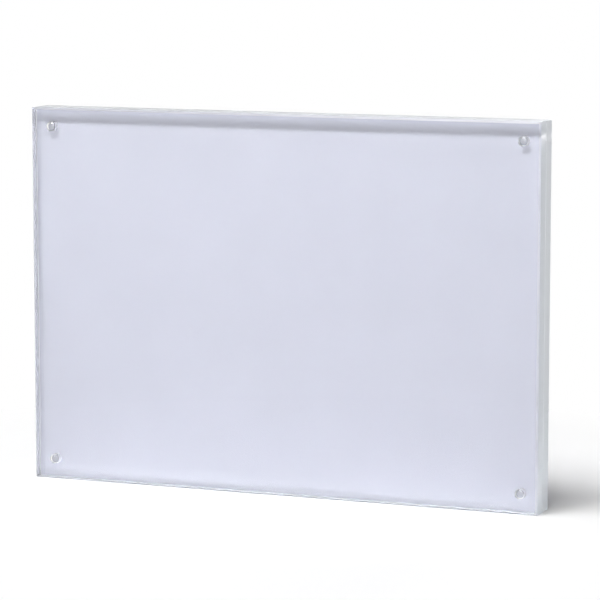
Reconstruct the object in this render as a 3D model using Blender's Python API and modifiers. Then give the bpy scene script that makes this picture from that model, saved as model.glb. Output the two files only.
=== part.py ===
"""A clear acrylic sign holder: two thick polished panels that close over a loose sheet of card.

Both halves are the same: a panel with a magnet let into each corner from its inner face. The rear
half is turned round to face the front one, and the magnets hold the two together through the card.
The block stands on the long edges of its panels. Metres, +Z up, the front towards -Y.
"""

import math

import bmesh
import bpy

# Panels
PANEL_WIDTH = 0.297
PANEL_HEIGHT = 0.210
PANEL_THICKNESS = 0.010
FACE_CHAMFER = 0.001  # polished chamfer round the outer face
ARRIS_BREAK = 0.0002  # the slight flat left by polishing on every other edge

# Insert
CARD_THICKNESS = 0.0003
CARD_MARGIN = 0.0001  # from the card's edge to the panels' edges
CARD_CLEARANCE = 0.0003  # on each face of the card

# Magnets and the pockets drilled for them
MAGNET_DIAMETER = 0.005
MAGNET_LENGTH = 0.005
MAGNET_ROUNDING = 0.0004
MAGNET_INSET = 0.0106  # from the magnet's axis to the panel's two nearest edges
MAGNET_RECESS = 0.0002  # below the panel's inner face
POCKET_CLEARANCE = 0.0003  # round the magnet and under it
DRILL_POINT_ANGLE = math.radians(118)

ROUND_STEPS = 48
ROUNDING_STEPS = 3
SMOOTH_ANGLE = math.radians(40)
CUT_OVERRUN = 0.001  # how far a cutter stands out of the face that it cuts

# Worked out from the sizes above
INNER_FACE_Y = -(CARD_THICKNESS / 2 + CARD_CLEARANCE)
MAGNET_Y = INNER_FACE_Y - MAGNET_RECESS - MAGNET_LENGTH / 2
POCKET_RADIUS = MAGNET_DIAMETER / 2 + POCKET_CLEARANCE
POCKET_DEPTH = MAGNET_RECESS + MAGNET_LENGTH + POCKET_CLEARANCE
MAGNET_X = PANEL_WIDTH / 2 - MAGNET_INSET
MAGNET_ROWS = {"bottom": MAGNET_INSET, "top": PANEL_HEIGHT - MAGNET_INSET}


def clear_scene():
    for thing in list(bpy.data.objects):
        bpy.data.objects.remove(thing, do_unlink=True)


def add_collection(name):
    collection = bpy.data.collections.new(name)
    bpy.context.scene.collection.children.link(collection)
    return collection


def add_material(name, colour, roughness, metallic):
    material = bpy.data.materials.new(name)
    material.use_nodes = True
    material.diffuse_color = (*colour, 1.0)
    shader = material.node_tree.nodes["Principled BSDF"]
    shader.inputs["Base Color"].default_value = (*colour, 1.0)
    shader.inputs["Roughness"].default_value = roughness
    shader.inputs["Metallic"].default_value = metallic
    return material


def acrylic_material():
    """Clear cast acrylic: it bends light a little less than glass, and is polished to a full gloss."""
    material = add_material("clear_cast_acrylic", (0.96, 0.98, 1.0), 0.02, 0.0)
    shader = material.node_tree.nodes["Principled BSDF"]
    shader.inputs["Transmission Weight"].default_value = 1.0
    shader.inputs["IOR"].default_value = 1.49
    return material


def card_material():
    return add_material("white_card", (0.86, 0.88, 0.93), 0.65, 0.0)


def nickel_material():
    return add_material("nickel_plating", (0.66, 0.65, 0.63), 0.22, 1.0)


def mesh_from(bm, name, material=None):
    mesh = bpy.data.meshes.new(name)
    bm.to_mesh(mesh)
    bm.free()
    if material:
        mesh.materials.append(material)
    return mesh


def box_bmesh(width, depth, height):
    bm = bmesh.new()
    bmesh.ops.create_cube(bm, size=1.0)
    bmesh.ops.scale(bm, vec=(width, depth, height), verts=bm.verts)
    return bm


def smooth_round(mesh):
    mesh.shade_smooth()
    mesh.set_sharp_from_angle(angle=SMOOTH_ANGLE)


def panel_mesh(material):
    """A plain slab about its own centre. Its outer face is at -Y, and its edges carry their chamfers."""
    bm = box_bmesh(PANEL_WIDTH, PANEL_THICKNESS, PANEL_HEIGHT)
    chamfer = bm.edges.layers.float.new("bevel_weight_edge")
    for edge in bm.edges:
        on_outer_face = all(vert.co.y < 0 for vert in edge.verts)
        edge[chamfer] = 1.0 if on_outer_face else ARRIS_BREAK / FACE_CHAMFER
    return mesh_from(bm, "panel_slab", material)


def magnet_mesh(material):
    """A short rod along Z about its own centre."""
    bm = bmesh.new()
    radius = MAGNET_DIAMETER / 2
    bmesh.ops.create_cone(
        bm, cap_ends=True, segments=ROUND_STEPS, radius1=radius, radius2=radius, depth=MAGNET_LENGTH
    )
    mesh = mesh_from(bm, "magnet_rod", material)
    smooth_round(mesh)
    return mesh


def pocket_mesh():
    """The drilled hole along Z: its mouth at the origin, and the drill's point at its far end."""
    bm = bmesh.new()
    length = POCKET_DEPTH + CUT_OVERRUN
    bmesh.ops.create_cone(
        bm, cap_ends=True, segments=ROUND_STEPS, radius1=POCKET_RADIUS, radius2=POCKET_RADIUS, depth=length
    )
    bmesh.ops.translate(bm, vec=(0.0, 0.0, POCKET_DEPTH - length / 2), verts=bm.verts)
    far_end = max(bm.faces, key=lambda face: face.calc_center_median().z)
    point_height = POCKET_RADIUS / math.tan(DRILL_POINT_ANGLE / 2)
    bmesh.ops.poke(bm, faces=[far_end], offset=point_height)
    mesh = mesh_from(bm, "pocket_drill")
    smooth_round(mesh)
    return mesh


def place(name, mesh, collection, location, parent=None, rotation=(0.0, 0.0, 0.0)):
    thing = bpy.data.objects.new(name, mesh)
    thing.parent = parent
    thing.location = location
    thing.rotation_euler = rotation
    collection.objects.link(thing)
    return thing


def add_bevel(thing, width, segments, limit):
    bevel = thing.modifiers.new("edges", "BEVEL")
    bevel.width = width
    bevel.segments = segments
    bevel.limit_method = limit
    bevel.angle_limit = SMOOTH_ANGLE
    return bevel


def corners(turned):
    """The four magnet places of a half: what each is called, seen from the front, and its X and Z."""
    for row, z in MAGNET_ROWS.items():
        for side in (-1, 1):
            seen_side = -side if turned else side
            yield f"{row}_{'left' if seen_side < 0 else 'right'}", side * MAGNET_X, z


def add_half(name, turned, meshes, parts, cutters):
    """One panel and its magnets, under an empty at the seam that faces the half front or back."""
    seam = place(f"{name}_half", None, parts, (0, 0, 0), rotation=(0, 0, math.pi if turned else 0))
    panel_place = (0, INNER_FACE_Y - PANEL_THICKNESS / 2, PANEL_HEIGHT / 2)
    panel = place(f"{name}_panel", meshes["panel"], parts, panel_place, seam)
    add_bevel(panel, FACE_CHAMFER, 1, "WEIGHT")

    # A quarter turn about X points a rod or a drill along Y, its far end towards the outer face.
    along_y = (math.pi / 2, 0, 0)
    for corner, x, z in corners(turned):
        magnet_name = f"{name}_magnet_{corner}"
        magnet = place(magnet_name, meshes["magnet"], parts, (x, MAGNET_Y, z), seam, along_y)
        add_bevel(magnet, MAGNET_ROUNDING, ROUNDING_STEPS, "ANGLE")

        pocket_name = f"{name}_pocket_{corner}"
        pocket = place(pocket_name, meshes["pocket"], cutters, (x, INNER_FACE_Y, z), seam, along_y)
        pocket.hide_render = True
        pocket.display_type = "WIRE"
        cut = panel.modifiers.new(f"pocket_{corner}", "BOOLEAN")
        cut.operation = "DIFFERENCE"
        cut.solver = "EXACT"
        cut.object = pocket


def add_insert(parts):
    """The blank card, upright in the middle of the gap between the panels."""
    width = PANEL_WIDTH - 2 * CARD_MARGIN
    height = PANEL_HEIGHT - 2 * CARD_MARGIN
    card = mesh_from(box_bmesh(width, CARD_THICKNESS, height), "card", card_material())
    place("insert_sheet", card, parts, (0, 0, PANEL_HEIGHT / 2))


def main():
    clear_scene()
    parts = add_collection("acrylic_sign_holder")
    cutters = add_collection("cutters")
    meshes = {
        "panel": panel_mesh(acrylic_material()),
        "magnet": magnet_mesh(nickel_material()),
        "pocket": pocket_mesh(),
    }
    add_half("front", False, meshes, parts, cutters)
    add_half("rear", True, meshes, parts, cutters)
    add_insert(parts)


main()
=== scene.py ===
import math

import bmesh
import bpy
from bpy.props import FloatProperty, FloatVectorProperty, IntProperty, PointerProperty
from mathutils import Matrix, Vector


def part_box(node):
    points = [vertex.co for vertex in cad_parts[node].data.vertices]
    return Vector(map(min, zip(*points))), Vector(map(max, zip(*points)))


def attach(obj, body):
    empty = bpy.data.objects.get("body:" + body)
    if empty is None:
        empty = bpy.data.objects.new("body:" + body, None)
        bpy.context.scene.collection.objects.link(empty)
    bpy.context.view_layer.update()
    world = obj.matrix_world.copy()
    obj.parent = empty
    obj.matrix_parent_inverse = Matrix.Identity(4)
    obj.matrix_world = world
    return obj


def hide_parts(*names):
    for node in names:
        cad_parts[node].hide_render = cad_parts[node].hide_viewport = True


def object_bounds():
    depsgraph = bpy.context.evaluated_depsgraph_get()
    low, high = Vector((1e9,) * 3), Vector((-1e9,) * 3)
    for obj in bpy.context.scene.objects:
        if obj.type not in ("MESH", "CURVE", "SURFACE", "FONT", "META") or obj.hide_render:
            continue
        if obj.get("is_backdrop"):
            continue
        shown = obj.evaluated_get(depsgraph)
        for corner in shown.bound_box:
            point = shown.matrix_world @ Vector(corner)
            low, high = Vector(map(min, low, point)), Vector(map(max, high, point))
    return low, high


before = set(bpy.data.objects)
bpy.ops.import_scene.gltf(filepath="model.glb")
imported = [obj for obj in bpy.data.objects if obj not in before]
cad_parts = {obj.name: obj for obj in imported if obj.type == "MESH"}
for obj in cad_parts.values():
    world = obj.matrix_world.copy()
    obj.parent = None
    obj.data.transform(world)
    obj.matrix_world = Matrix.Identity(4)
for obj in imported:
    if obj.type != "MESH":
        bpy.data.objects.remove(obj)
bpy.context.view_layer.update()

bl_info = {
    "name": "Acrylic Sign Holder",
    "version": (1, 0, 0),
    "blender": (4, 5, 0),
    "location": "3D View > Sidebar > Sign Holder",
    "description": "Two polished acrylic panels held over a loose card by magnets in their corners",
    "category": "Add Mesh",
}

HALVES = ("front", "rear")
CORNERS = ("top_left", "top_right", "bottom_left", "bottom_right")

# Faces that meet at less than the first angle are shaded as one. Those past the second meet squarely.
SMOOTH_BELOW = math.radians(35)
SQUARE_ABOVE = math.radians(80)

# Facets across a magnet's rounded rim and a card's softened edge, and how much of the card's
# thickness that softening takes on each side.
RIM_STEPS = 6
CARD_EDGE_STEPS = 2
CARD_SOFTENING = 1 / 6

# The sweep lies just under the block, so that no two faces share a plane. Metres.
PAPER_DROP = 0.00005
PAPER_SIZE = 12.0

# A fine silk polish on the acrylic's edges and chamfers. It keeps the block's ends an even grey,
# where a mirror polish would show streaks of the card's edge and of the floor.
EDGE_ROUGHNESS = 0.28

# Soft boxes, all aimed at the block: degrees to the left of its front and upwards, metres, watts.
SOFT_BOX_DISTANCE = 3.0
SOFT_BOXES = {
    "overhead_soft_box": {"left": 0, "up": 67, "width": 1.15, "depth": 1.5, "power": 52.0},
    "left_soft_box": {"left": 40, "up": 68, "width": 1.15, "depth": 1.15, "power": 45.0},
    "front_soft_box": {"left": 0, "up": 12, "width": 1.15, "depth": 1.15, "power": 4.8},
    "rear_soft_box": {"left": 180, "up": 14, "width": 1.15, "depth": 1.15, "power": 24.0},
}

# Between these distances from the block's middle, in metres, the lit paper turns into plain white.
PLAIN_PAPER_FROM = 0.19
PLAIN_PAPER_TO = 0.32

LIGHT_BOUNCES = 64


def millimetres(value):
    """A length in millimetres as the metres that Blender works in."""
    return value / 1000.0


def pattern_scale(size_mm):
    """The scale that gives a noise pattern features of that size, on coordinates in metres."""
    return 1.0 / millimetres(size_mm)


def linear(hex_colour):
    """An sRGB hex colour as the linear colour that shaders take, with full alpha."""
    channels = [int(hex_colour[i : i + 2], 16) / 255.0 for i in (1, 3, 5)]
    bent = [c / 12.92 if c <= 0.04045 else ((c + 0.055) / 1.055) ** 2.4 for c in channels]
    return (*bent, 1.0)


WHITE = linear("#FFFFFF")


def length_property(name, description, default_mm):
    return FloatProperty(
        name=name,
        description=description,
        default=millimetres(default_mm),
        min=0.0,
        unit="LENGTH",
        precision=5,
    )


def angle_property(name, description, default_degrees):
    return FloatProperty(
        name=name, description=description, default=math.radians(default_degrees), subtype="ANGLE"
    )


def colour_property(name, description, hex_colour):
    return FloatVectorProperty(
        name=name,
        description=description,
        default=linear(hex_colour)[:3],
        min=0.0,
        max=1.0,
        subtype="COLOR",
    )


class BlockSizes(bpy.types.PropertyGroup):
    """Sizes that the solids of the frame don't set."""

    face_chamfer: length_property("Face chamfer", "Polished chamfer round each outer face", 1.0)
    arris_break: length_property("Arris break", "Flat that polishing leaves on the other edges", 0.06)
    card_fit: length_property("Card fit", "Air between the card and each panel", 0.04)
    magnet_fit: length_property("Magnet fit", "Air round each magnet in its pocket", 0.2)
    magnet_rounding: length_property("Magnet rounding", "Tumbled edge of a magnet", 0.5)
    drill_point: angle_property("Drill point", "Full angle of the drill that made the pockets", 118)
    round_steps: IntProperty(
        name="Round steps", description="Sides of a pocket or magnet", default=96, min=24
    )


class Finishes(bpy.types.PropertyGroup):
    """Colours of the finishes."""

    acrylic_depth: colour_property(
        "Acrylic depth", "What white light becomes on its way through 0.8 m of acrylic", "#94A3B0"
    )
    card: colour_property("Card", "The blank card", "#E5E7F5")
    nickel: colour_property("Nickel", "The magnets' plating", "#B4B6BE")
    paper: colour_property("Paper", "The studio's paper sweep", "#F2F2F2")


class StudioSettings(bpy.types.PropertyGroup):
    """The photographer's side: where the camera stands, and how bright the lights are."""

    camera_azimuth: angle_property("Camera azimuth", "Angle of the camera to the right", 21.61)
    camera_elevation: angle_property("Camera elevation", "Angle of the camera upwards", 7.73)
    camera_distance: FloatProperty(
        name="Camera distance", description="From the camera to its target", default=1.6435, unit="LENGTH"
    )
    camera_target: FloatVectorProperty(
        name="Camera target",
        description="Point in the middle of the picture",
        default=(0.0089, 0.0, 0.1079),
        subtype="XYZ",
    )
    camera_lens: FloatProperty(
        name="Lens", description="Focal length in millimetres on a 36 mm sensor", default=180.08
    )
    light_level: FloatProperty(
        name="Light level", description="Factor on the power of every soft box", default=1.0, min=0.0
    )
    room_level: FloatProperty(name="Room level", description="Light from the room all round", default=0.1)
    paper_lift: FloatProperty(
        name="Paper lift", description="What is added to the sweep where it is seen", default=0.02
    )


def fresh(add_primitive, name, **settings):
    """Adds a primitive by itself, with nothing else selected, and puts its place and size into its mesh."""
    bpy.ops.object.select_all(action="DESELECT")
    add_primitive(**settings)
    piece = bpy.context.object
    piece.name = name
    piece.data.name = name
    bpy.ops.object.transform_apply(location=True, rotation=True, scale=True)
    return piece


def only(piece):
    """Selects that piece by itself and makes it the active one."""
    bpy.ops.object.select_all(action="DESELECT")
    piece.select_set(True)
    bpy.context.view_layer.objects.active = piece


def shape(piece, mode, chosen, operator, **settings):
    """In edit mode, selects the elements that chosen names and runs one operator on them."""
    only(piece)
    bpy.ops.object.mode_set(mode="EDIT")
    bpy.ops.mesh.select_mode(type=mode)
    bpy.ops.mesh.select_all(action="DESELECT")
    mesh = bmesh.from_edit_mesh(piece.data)
    for element in {"VERT": mesh.verts, "EDGE": mesh.edges, "FACE": mesh.faces}[mode]:
        if chosen(element):
            element.select = True
    mesh.select_flush_mode()
    bmesh.update_edit_mesh(piece.data)
    operator(**settings)
    bpy.ops.object.mode_set(mode="OBJECT")


def is_square(edge):
    """Whether the two faces at an edge meet at about a right angle."""
    return edge.calc_face_angle(0.0) > SQUARE_ABOVE


def cut_away(piece, cutter):
    """Takes the cutter's shape out of the piece, and removes the cutter."""
    only(piece)
    cut = piece.modifiers.new("cut", "BOOLEAN")
    cut.operation = "DIFFERENCE"
    cut.solver = "EXACT"
    cut.object = cutter
    bpy.ops.object.modifier_apply(modifier=cut.name)
    bpy.data.objects.remove(cutter)


def add_node(tree, kind, values=None, links=None, **settings):
    """A shader node with its settings, its sockets' values, and links from other nodes' sockets."""
    node = tree.nodes.new(kind)
    for name, value in settings.items():
        setattr(node, name, value)
    for socket, value in (values or {}).items():
        node.inputs[socket].default_value = value
    for socket, source in (links or {}).items():
        tree.links.new(source, node.inputs[socket])
    return node


def new_material(name):
    """An empty material, with its node tree and the output node that its shader goes into."""
    material = bpy.data.materials.new(name)
    material.use_nodes = True
    tree = material.node_tree
    tree.nodes.clear()
    output = add_node(tree, "ShaderNodeOutputMaterial")
    return material, tree, output


def acrylic_material(depth_colour):
    """Cast acrylic, its faces as they left the glass mould and its edges cut and then polished.

    It is clear with a trace of blue in a long path, and bends light at 1.49. The cast faces roll very
    slightly over a few centimetres, which bends long reflections.
    """
    material, tree, output = new_material("cast_acrylic_polished_edges")
    place = add_node(tree, "ShaderNodeTexCoord")
    # The roll is 0.004 mm high and about 36 mm from swell to swell.
    roll = add_node(
        tree,
        "ShaderNodeTexNoise",
        values={"Scale": pattern_scale(35.7), "Detail": 1.0, "Roughness": 0.4},
        links={"Vector": place.outputs["Object"]},
    )
    rolled = add_node(
        tree,
        "ShaderNodeBump",
        values={"Strength": 1.0, "Distance": millimetres(0.004)},
        links={"Height": roll.outputs["Fac"]},
    )
    # Y of the normal is 1 on the cast faces, 0.71 on the chamfers and 0 on the edges.
    along_y = add_node(tree, "ShaderNodeSeparateXYZ", links={0: place.outputs["Normal"]})
    facing = add_node(tree, "ShaderNodeMath", operation="ABSOLUTE", links={0: along_y.outputs["Y"]})
    gloss = add_node(
        tree,
        "ShaderNodeMapRange",
        values={"From Min": 0.8, "From Max": 0.9, "To Min": EDGE_ROUGHNESS, "To Max": 0.0},
        links={"Value": facing.outputs[0]},
    )
    shader = add_node(
        tree,
        "ShaderNodeBsdfPrincipled",
        values={"Base Color": WHITE, "IOR": 1.491, "Transmission Weight": 1.0},
        links={"Roughness": gloss.outputs["Result"], "Normal": rolled.outputs["Normal"]},
    )
    inside = add_node(
        tree, "ShaderNodeVolumeAbsorption", values={"Color": (*depth_colour, 1.0), "Density": 2.0}
    )
    tree.links.new(shader.outputs["BSDF"], output.inputs["Surface"])
    tree.links.new(inside.outputs["Volume"], output.inputs["Volume"])
    return material


def card_material(card_colour):
    """Uncoated white card: flat, with a fibre grain and a trace of blue brightener."""
    material, tree, output = new_material("white_card_uncoated")
    place = add_node(tree, "ShaderNodeTexCoord")
    # Fibre clumps of about 0.6 mm, and a cloudiness of a few centimetres where the pulp lies thicker.
    grain = add_node(
        tree,
        "ShaderNodeTexNoise",
        values={"Scale": pattern_scale(0.625), "Detail": 3.0, "Roughness": 0.6},
        links={"Vector": place.outputs["Object"]},
    )
    cloud = add_node(
        tree,
        "ShaderNodeTexNoise",
        values={"Scale": pattern_scale(33.3), "Detail": 2.0, "Roughness": 0.5},
        links={"Vector": place.outputs["Object"]},
    )
    both = add_node(
        tree,
        "ShaderNodeMix",
        data_type="FLOAT",
        values={"Factor": 0.35},
        links={"A": cloud.outputs["Fac"], "B": grain.outputs["Fac"]},
    )
    colour = add_node(tree, "ShaderNodeValToRGB", links={"Fac": both.outputs["Result"]})
    for element, position, brightness in zip(colour.color_ramp.elements, (0.3, 0.7), (0.98, 1.02)):
        element.position = position
        element.color = (*(channel * brightness for channel in card_colour), 1.0)
    bump = add_node(
        tree,
        "ShaderNodeBump",
        values={"Strength": 0.3, "Distance": millimetres(0.02)},
        links={"Height": grain.outputs["Fac"]},
    )
    shader = add_node(
        tree,
        "ShaderNodeBsdfPrincipled",
        values={"Roughness": 0.75, "IOR": 1.45, "Specular IOR Level": 0.2},
        links={"Base Color": colour.outputs["Color"], "Normal": bump.outputs["Normal"]},
    )
    tree.links.new(shader.outputs["BSDF"], output.inputs["Surface"])
    return material


def nickel_material(nickel_colour):
    """Bright nickel plating on a tumbled magnet: a cool grey mirror, dulled by fine pitting."""
    material, tree, output = new_material("nickel_plating_tumbled")
    place = add_node(tree, "ShaderNodeTexCoord")
    # Real pits are far finer. These are drawn nearly 0.4 mm wide, so that they show.
    pits = add_node(
        tree,
        "ShaderNodeTexNoise",
        values={"Scale": pattern_scale(0.3846), "Detail": 3.0, "Roughness": 0.6},
        links={"Vector": place.outputs["Object"]},
    )
    gloss = add_node(
        tree,
        "ShaderNodeMapRange",
        values={"From Min": 0.3, "From Max": 0.7, "To Min": 0.14, "To Max": 0.26},
        links={"Value": pits.outputs["Fac"]},
    )
    bump = add_node(
        tree,
        "ShaderNodeBump",
        values={"Strength": 0.25, "Distance": millimetres(0.01)},
        links={"Height": pits.outputs["Fac"]},
    )
    shader = add_node(
        tree,
        "ShaderNodeBsdfPrincipled",
        values={"Base Color": (*nickel_colour, 1.0), "Metallic": 1.0},
        links={"Roughness": gloss.outputs["Result"], "Normal": bump.outputs["Normal"]},
    )
    tree.links.new(shader.outputs["BSDF"], output.inputs["Surface"])
    return material


def outward(half):
    """The direction along Y in which a half's outer face looks."""
    return -1.0 if half == "front" else 1.0


def card_face(half):
    """The Y of the card's face on that half's side."""
    low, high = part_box("insert_sheet")
    return low.y if half == "front" else high.y


def finish_piece(piece, material, body, slot, *nodes):
    """Gives a piece its finish and hands it to the frame."""
    piece.data.materials.clear()
    piece.data.materials.append(material)
    only(piece)
    bpy.ops.object.shade_smooth_by_angle(angle=SMOOTH_BELOW)
    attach(piece, body)
    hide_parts(*nodes)


def pocket_cutter(half, corner, sizes):
    """The drill's shape: a rod round the magnet, past the panel's inner face, with the drill's point."""
    low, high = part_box(f"{half}_magnet_{corner}")
    middle = (low + high) / 2
    radius = (high.x - low.x) / 2 + sizes.magnet_fit
    out = outward(half)
    # The rod starts behind the seam, well clear of the inner face that it cuts.
    mouth = -out * millimetres(2)
    bottom = out * (max(abs(low.y), abs(high.y)) + sizes.magnet_fit)
    cutter = fresh(
        bpy.ops.mesh.primitive_cylinder_add,
        "pocket_cutter",
        vertices=sizes.round_steps,
        radius=radius,
        depth=abs(bottom - mouth),
        location=(middle.x, (bottom + mouth) / 2, middle.z),
        rotation=(math.pi / 2, 0, 0),
    )

    def is_far_end(face):
        return face.normal.y * out > 0.9

    point = radius / math.tan(sizes.drill_point / 2)
    shape(cutter, "FACE", is_far_end, bpy.ops.mesh.poke, offset=point)
    return cutter


def add_panel(half, sizes, material):
    """A slab that closes on the card, chamfered round its outer face, with four drilled pockets."""
    low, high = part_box(f"{half}_panel")
    out = outward(half)
    outer = low.y if out < 0 else high.y
    inner = card_face(half) + out * sizes.card_fit
    panel = fresh(
        bpy.ops.mesh.primitive_cube_add,
        f"{half}_panel_acrylic",
        size=1.0,
        location=((low.x + high.x) / 2, (outer + inner) / 2, (low.z + high.z) / 2),
        scale=(high.x - low.x, abs(outer - inner), high.z - low.z),
    )
    hair = millimetres(0.01)

    def rims_outer_face(edge):
        return all(abs(vert.co.y - outer) < hair for vert in edge.verts)

    # The chamfer comes first. After it, the only square edges are those that get the fine flat.
    shape(panel, "EDGE", rims_outer_face, bpy.ops.mesh.bevel, offset=sizes.face_chamfer, segments=1)
    shape(panel, "EDGE", is_square, bpy.ops.mesh.bevel, offset=sizes.arris_break, segments=1)
    for corner in CORNERS:
        cut_away(panel, pocket_cutter(half, corner, sizes))
    finish_piece(panel, material, f"{half}_half", "acrylic", f"{half}_panel")


def model_magnet(sizes):
    """One magnet about the origin, along Y: a rod with tumbled rims."""
    low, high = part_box(f"{HALVES[0]}_magnet_{CORNERS[0]}")
    magnet = fresh(
        bpy.ops.mesh.primitive_cylinder_add,
        "magnet_pattern",
        vertices=sizes.round_steps,
        radius=(high.x - low.x) / 2,
        depth=high.y - low.y,
        location=(0, 0, 0),
        rotation=(math.pi / 2, 0, 0),
    )
    rounding = sizes.magnet_rounding
    shape(magnet, "EDGE", is_square, bpy.ops.mesh.bevel, offset=rounding, segments=RIM_STEPS)
    return magnet


def add_magnets(half, sizes, material):
    """Copies of one magnet in the half's four pockets, each with its own mesh."""
    pattern = model_magnet(sizes)
    for corner in CORNERS:
        node = f"{half}_magnet_{corner}"
        low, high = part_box(node)
        magnet = pattern.copy()
        magnet.data = pattern.data.copy()
        magnet.name = f"{node}_nickel"
        magnet.data.name = magnet.name
        bpy.context.scene.collection.objects.link(magnet)
        magnet.location = (low + high) / 2
        only(magnet)
        bpy.ops.object.transform_apply(location=True, rotation=False, scale=False)
        finish_piece(magnet, material, f"{half}_half", "nickel", node)
    bpy.data.objects.remove(pattern)


def add_card(material):
    """The blank card: a sheet cut square, its cut edges just softened."""
    low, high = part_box("insert_sheet")
    thickness = high.y - low.y
    card = fresh(
        bpy.ops.mesh.primitive_cube_add,
        "insert_sheet_card",
        size=1.0,
        location=(low + high) / 2,
        scale=(high.x - low.x, thickness, high.z - low.z),
    )

    def is_long_edge(edge):
        return edge.calc_length() > thickness * 2

    softening = thickness * CARD_SOFTENING
    shape(card, "EDGE", is_long_edge, bpy.ops.mesh.bevel, offset=softening, segments=CARD_EDGE_STEPS)
    finish_piece(card, material, "insert", "card", "insert_sheet")


def from_spherical(azimuth, elevation, distance):
    """A place at that distance. Azimuth 0 is in front of the block, and turns to the right."""
    flat = math.cos(elevation) * distance
    return Vector((math.sin(azimuth) * flat, -math.cos(azimuth) * flat, math.sin(elevation) * distance))


def aim(thing, target):
    """Turns a camera or a lamp, which look along their own -Z, to face the target."""
    thing.rotation_euler = (Vector(target) - thing.location).to_track_quat("-Z", "Y").to_euler()


def seen_directly(tree):
    """A socket that is 1 for what the camera sees, also in metal and through acrylic, and 0 for light.

    The light that a matt surface has sent on counts as light, whatever it then passes through.
    """
    path = add_node(tree, "ShaderNodeLightPath")
    seen = path.outputs["Is Camera Ray"]
    for kind in ("Is Glossy Ray", "Is Transmission Ray"):
        seen = add_node(
            tree, "ShaderNodeMath", operation="MAXIMUM", links={0: seen, 1: path.outputs[kind]}
        ).outputs[0]
    first = add_node(
        tree,
        "ShaderNodeMath",
        operation="LESS_THAN",
        values={1: 0.5},
        links={0: path.outputs["Diffuse Depth"]},
    )
    both = add_node(tree, "ShaderNodeMath", operation="MULTIPLY", links={0: seen, 1: first.outputs[0]})
    return both.outputs[0]


def add_room(studio):
    """The world: plain white where it is seen, and a soft grey light elsewhere."""
    world = bpy.data.worlds.new("white_room")
    bpy.context.scene.world = world
    world.use_nodes = True
    tree = world.node_tree
    tree.nodes.clear()
    output = add_node(tree, "ShaderNodeOutputWorld")
    room = {"Color": WHITE, "Strength": studio.room_level}
    light = add_node(tree, "ShaderNodeBackground", values=room)
    white = add_node(tree, "ShaderNodeBackground", values={"Color": WHITE, "Strength": 1.0})
    mix = add_node(
        tree,
        "ShaderNodeMixShader",
        links={0: seen_directly(tree), 1: light.outputs[0], 2: white.outputs[0]},
    )
    tree.links.new(mix.outputs[0], output.inputs["Surface"])


def floor_material(paper, lift):
    """White paper sweep: matt near the block, where it shows the shadow, and plain white further off.

    The lift is a little light that is added only where the sweep is seen.
    """
    material, tree, output = new_material("white_paper_sweep")
    place = add_node(tree, "ShaderNodeTexCoord")
    distance = add_node(
        tree, "ShaderNodeVectorMath", operation="LENGTH", links={0: place.outputs["Object"]}
    )
    far = add_node(
        tree,
        "ShaderNodeMapRange",
        values={"From Min": PLAIN_PAPER_FROM, "From Max": PLAIN_PAPER_TO},
        links={"Value": distance.outputs["Value"]},
    )
    seen = seen_directly(tree)
    far_and_seen = add_node(
        tree, "ShaderNodeMath", operation="MULTIPLY", links={0: far.outputs["Result"], 1: seen}
    )
    lifted_by = add_node(tree, "ShaderNodeMath", operation="MULTIPLY", values={1: lift}, links={0: seen})
    matt = add_node(tree, "ShaderNodeBsdfDiffuse", values={"Color": (*paper, 1.0)})
    glow = add_node(
        tree, "ShaderNodeEmission", values={"Color": WHITE}, links={"Strength": lifted_by.outputs[0]}
    )
    lifted = add_node(tree, "ShaderNodeAddShader", links={0: matt.outputs[0], 1: glow.outputs[0]})
    white = add_node(tree, "ShaderNodeEmission", values={"Color": WHITE, "Strength": 1.0})
    mix = add_node(
        tree,
        "ShaderNodeMixShader",
        links={0: far_and_seen.outputs[0], 1: lifted.outputs[0], 2: white.outputs[0]},
    )
    tree.links.new(mix.outputs[0], output.inputs["Surface"])
    return material


def add_floor(finishes, studio):
    """The paper sweep, flat as far as the camera sees."""
    floor = fresh(
        bpy.ops.mesh.primitive_plane_add, "paper_sweep", size=PAPER_SIZE, location=(0, 0, -PAPER_DROP)
    )
    floor.data.materials.append(floor_material(finishes.paper, studio.paper_lift))
    floor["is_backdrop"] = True


def add_soft_boxes(studio):
    """The soft boxes, all at one distance from the middle of the block and facing it."""
    middle = Vector((0, 0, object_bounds()[1].z / 2))
    for name, box in SOFT_BOXES.items():
        data = bpy.data.lights.new(name, "AREA")
        data.shape = "RECTANGLE"
        data.size = box["width"]
        data.size_y = box["depth"]
        data.energy = box["power"] * studio.light_level
        lamp = bpy.data.objects.new(name, data)
        bpy.context.scene.collection.objects.link(lamp)
        place = from_spherical(-math.radians(box["left"]), math.radians(box["up"]), SOFT_BOX_DISTANCE)
        lamp.location = middle + place
        aim(lamp, middle)


def add_camera(studio):
    """The camera, where the photographer's stood."""
    data = bpy.data.cameras.new("camera")
    data.lens = studio.camera_lens
    camera = bpy.data.objects.new("camera", data)
    bpy.context.scene.collection.objects.link(camera)
    target = Vector(studio.camera_target)
    camera.location = target + from_spherical(
        studio.camera_azimuth, studio.camera_elevation, studio.camera_distance
    )
    aim(camera, target)
    bpy.context.scene.camera = camera


class SIGNHOLDER_OT_panels(bpy.types.Operator):
    """Add the two acrylic panels with their chamfers and drilled pockets"""

    bl_idname = "sign_holder.panels"
    bl_label = "Acrylic Panels"

    def execute(self, context):
        material = acrylic_material(context.scene.sign_holder_finishes.acrylic_depth)
        for half in HALVES:
            add_panel(half, context.scene.sign_holder_sizes, material)
        return {"FINISHED"}


class SIGNHOLDER_OT_magnets(bpy.types.Operator):
    """Add the nickel-plated magnets in the corners of both panels"""

    bl_idname = "sign_holder.magnets"
    bl_label = "Corner Magnets"

    def execute(self, context):
        material = nickel_material(context.scene.sign_holder_finishes.nickel)
        for half in HALVES:
            add_magnets(half, context.scene.sign_holder_sizes, material)
        return {"FINISHED"}


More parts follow.
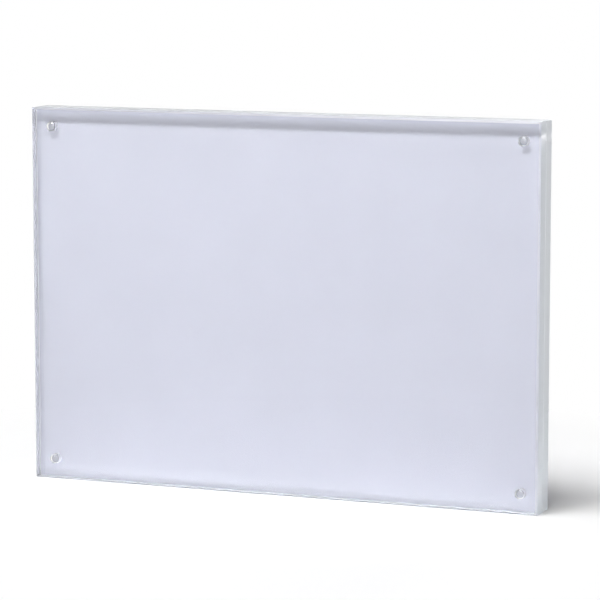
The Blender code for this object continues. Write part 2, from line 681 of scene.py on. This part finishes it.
class SIGNHOLDER_OT_card(bpy.types.Operator):
    """Add the blank card between the panels"""

    bl_idname = "sign_holder.card"
    bl_label = "Blank Card"

    def execute(self, context):
        add_card(card_material(context.scene.sign_holder_finishes.card))
        return {"FINISHED"}


class SIGNHOLDER_OT_stage(bpy.types.Operator):
    """Add the room's light, the paper sweep, the soft boxes and the camera"""

    bl_idname = "sign_holder.stage"
    bl_label = "Studio"

    def execute(self, context):
        studio = context.scene.sign_holder_studio
        add_room(studio)
        add_floor(context.scene.sign_holder_finishes, studio)
        add_soft_boxes(studio)
        add_camera(studio)
        context.scene.view_settings.view_transform = "Standard"
        # Light crosses the clear panels from end to end by many inner reflections.
        cycles = context.scene.cycles
        cycles.max_bounces = LIGHT_BOUNCES
        cycles.transmission_bounces = LIGHT_BOUNCES
        cycles.glossy_bounces = LIGHT_BOUNCES
        # The card is lit through polished faces, so light keeps its exact path through them.
        cycles.blur_glossy = 0.0
        return {"FINISHED"}


OPERATORS = (SIGNHOLDER_OT_panels, SIGNHOLDER_OT_magnets, SIGNHOLDER_OT_card, SIGNHOLDER_OT_stage)


class SIGNHOLDER_PT_sidebar(bpy.types.Panel):
    """The steps that build the sign holder, in order"""

    bl_idname = "SIGNHOLDER_PT_sidebar"
    bl_label = "Sign Holder"
    bl_space_type = "VIEW_3D"
    bl_region_type = "UI"
    bl_category = "Sign Holder"

    def draw(self, context):
        for operator in OPERATORS:
            self.layout.operator(operator.bl_idname)
        for group in GROUPS:
            settings = getattr(context.scene, group)
            box = self.layout.box()
            for name in settings.__annotations__:
                box.prop(settings, name)


GROUPS = {
    "sign_holder_sizes": BlockSizes,
    "sign_holder_finishes": Finishes,
    "sign_holder_studio": StudioSettings,
}
CLASSES = (*GROUPS.values(), *OPERATORS, SIGNHOLDER_PT_sidebar)


def register():
    for each in CLASSES:
        bpy.utils.register_class(each)
    for name, group in GROUPS.items():
        setattr(bpy.types.Scene, name, PointerProperty(type=group))


def unregister():
    for name in GROUPS:
        delattr(bpy.types.Scene, name)
    for each in reversed(CLASSES):
        bpy.utils.unregister_class(each)


def main():
    register()
    bpy.ops.sign_holder.panels()
    bpy.ops.sign_holder.magnets()
    bpy.ops.sign_holder.card()
    bpy.ops.sign_holder.stage()


if __name__ == "__main__":
    main()
